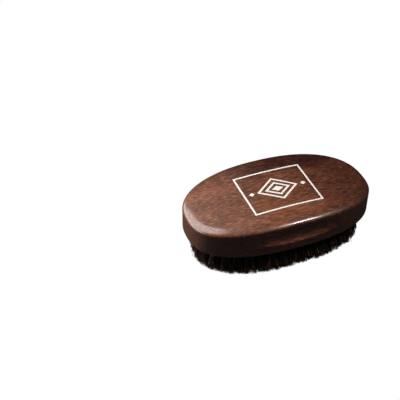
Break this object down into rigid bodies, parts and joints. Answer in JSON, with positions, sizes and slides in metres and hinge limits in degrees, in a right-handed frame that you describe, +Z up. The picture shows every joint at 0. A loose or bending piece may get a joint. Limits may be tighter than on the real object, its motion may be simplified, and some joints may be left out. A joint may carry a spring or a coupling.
{
  "type": "beard brush",
  "caption": "Palm-size oval beard brush: a one-piece hardwood block with a gently curved back, a finger groove along each side and rows of boar bristle tufts on its lower face.",
  "frame": {"origin": "on the surface the brush stands on, under the middle of the block", "axes": "+X along the brush, +Y across it, +Z up from the bristle tips to the wooden back"},
  "size_m": [0.12, 0.066, 0.038],
  "materials": {
    "walnut_lacquered": "satin",
    "boar_bristle": "satin"
  },
  "bodies": {
    "root": {"handle_block": "walnut_lacquered", "edge_tuft_01": "boar_bristle", "edge_tuft_02": "boar_bristle", "edge_tuft_03": "boar_bristle", "edge_tuft_04": "boar_bristle", "edge_tuft_05": "boar_bristle", "edge_tuft_06": "boar_bristle", "edge_tuft_07": "boar_bristle", "edge_tuft_08": "boar_bristle", "edge_tuft_09": "boar_bristle", "edge_tuft_10": "boar_bristle", "edge_tuft_11": "boar_bristle", "edge_tuft_12": "boar_bristle", "edge_tuft_13": "boar_bristle", "edge_tuft_14": "boar_bristle", "edge_tuft_15": "boar_bristle", "edge_tuft_16": "boar_bristle", "edge_tuft_17": "boar_bristle", "edge_tuft_18": "boar_bristle", "edge_tuft_19": "boar_bristle", "edge_tuft_20": "boar_bristle", "edge_tuft_21": "boar_bristle", "edge_tuft_22": "boar_bristle", "edge_tuft_23": "boar_bristle", "edge_tuft_24": "boar_bristle", "edge_tuft_25": "boar_bristle", "edge_tuft_26": "boar_bristle", "edge_tuft_27": "boar_bristle", "edge_tuft_28": "boar_bristle", "edge_tuft_29": "boar_bristle", "edge_tuft_30": "boar_bristle", "edge_tuft_31": "boar_bristle", "edge_tuft_32": "boar_bristle", "edge_tuft_33": "boar_bristle", "edge_tuft_34": "boar_bristle", "edge_tuft_35": "boar_bristle", "edge_tuft_36": "boar_bristle", "second_row_1": "boar_bristle", "second_row_2": "boar_bristle", "second_row_3": "boar_bristle", "second_row_4": "boar_bristle", "second_row_5": "boar_bristle", "second_row_6": "boar_bristle", "third_row_1": "boar_bristle", "third_row_2": "boar_bristle", "third_row_3": "boar_bristle", "third_row_4": "boar_bristle", "third_row_5": "boar_bristle", "third_row_6": "boar_bristle", "fourth_row_1": "boar_bristle", "fourth_row_2": "boar_bristle", "fourth_row_3": "boar_bristle", "fourth_row_4": "boar_bristle", "fourth_row_5": "boar_bristle", "fourth_row_6": "boar_bristle", "middle_row": "boar_bristle"}
  },
  "joints": []
}
